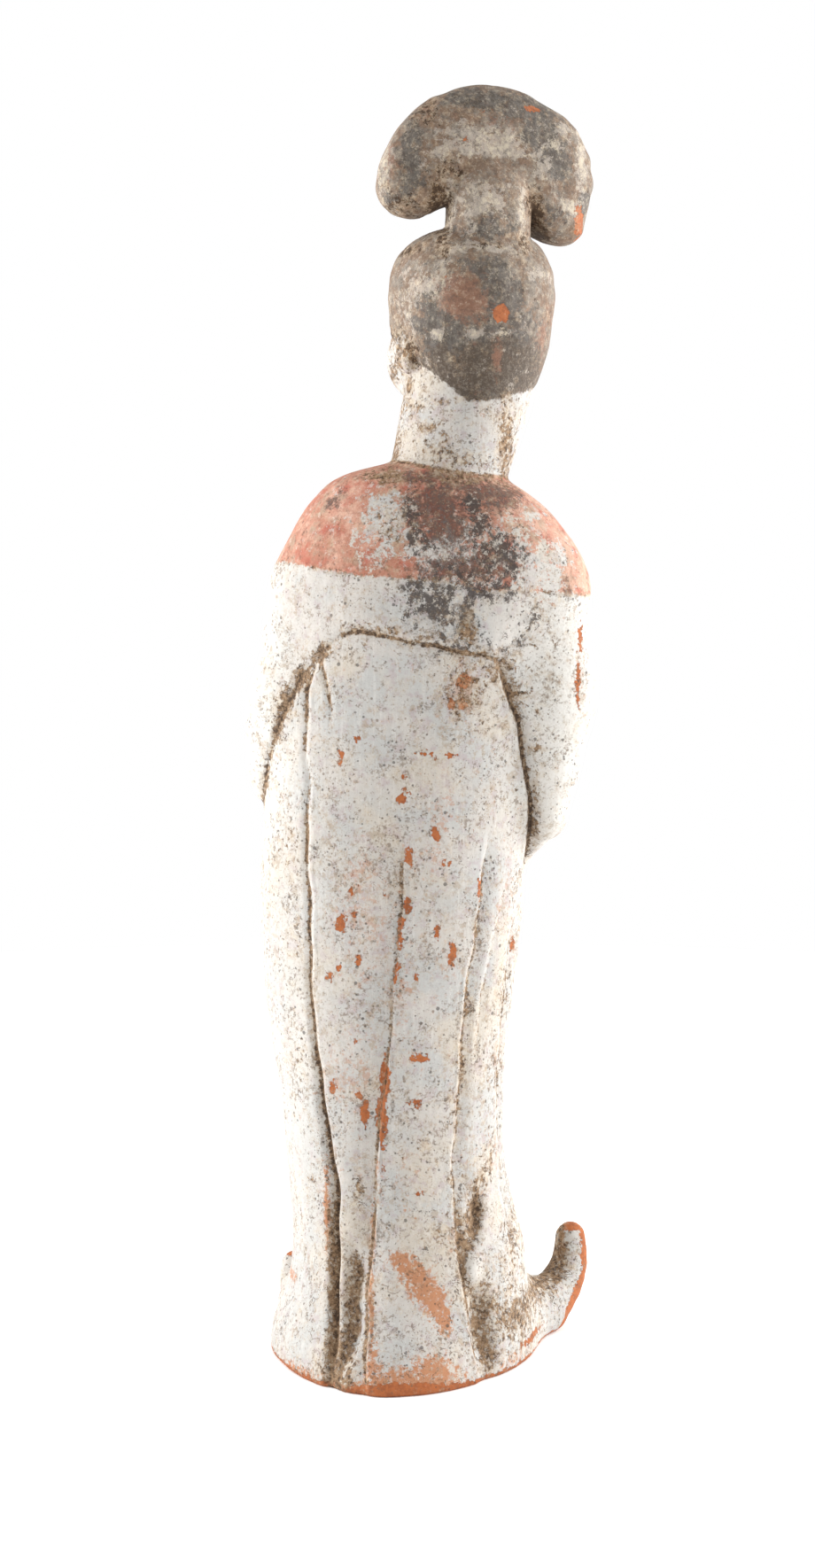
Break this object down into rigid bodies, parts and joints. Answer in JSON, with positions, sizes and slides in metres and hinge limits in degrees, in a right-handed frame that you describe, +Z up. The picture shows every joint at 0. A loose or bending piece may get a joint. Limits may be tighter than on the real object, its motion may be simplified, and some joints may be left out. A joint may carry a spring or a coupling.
{
  "type": "tang tomb attendant figure",
  "caption": "Painted pottery standing attendant with joined sleeves, a turned head and a crescent bun, flat underneath to stand on a shelf or plinth.",
  "frame": {"origin": "on the ground under the middle of the robe, on the flat underside", "axes": "+Z up, -Y the way the body faces, +X to the figure's own left"},
  "size_m": [0.1119, 0.1031, 0.3964],
  "materials": {
    "painted_pottery": "white slip over orange terracotta, with a pink yoke, grey-black hair and brown burial earth in the folds"
  },
  "bodies": {
    "root": {"attendant_figure": "painted_pottery"}
  },
  "joints": []
}
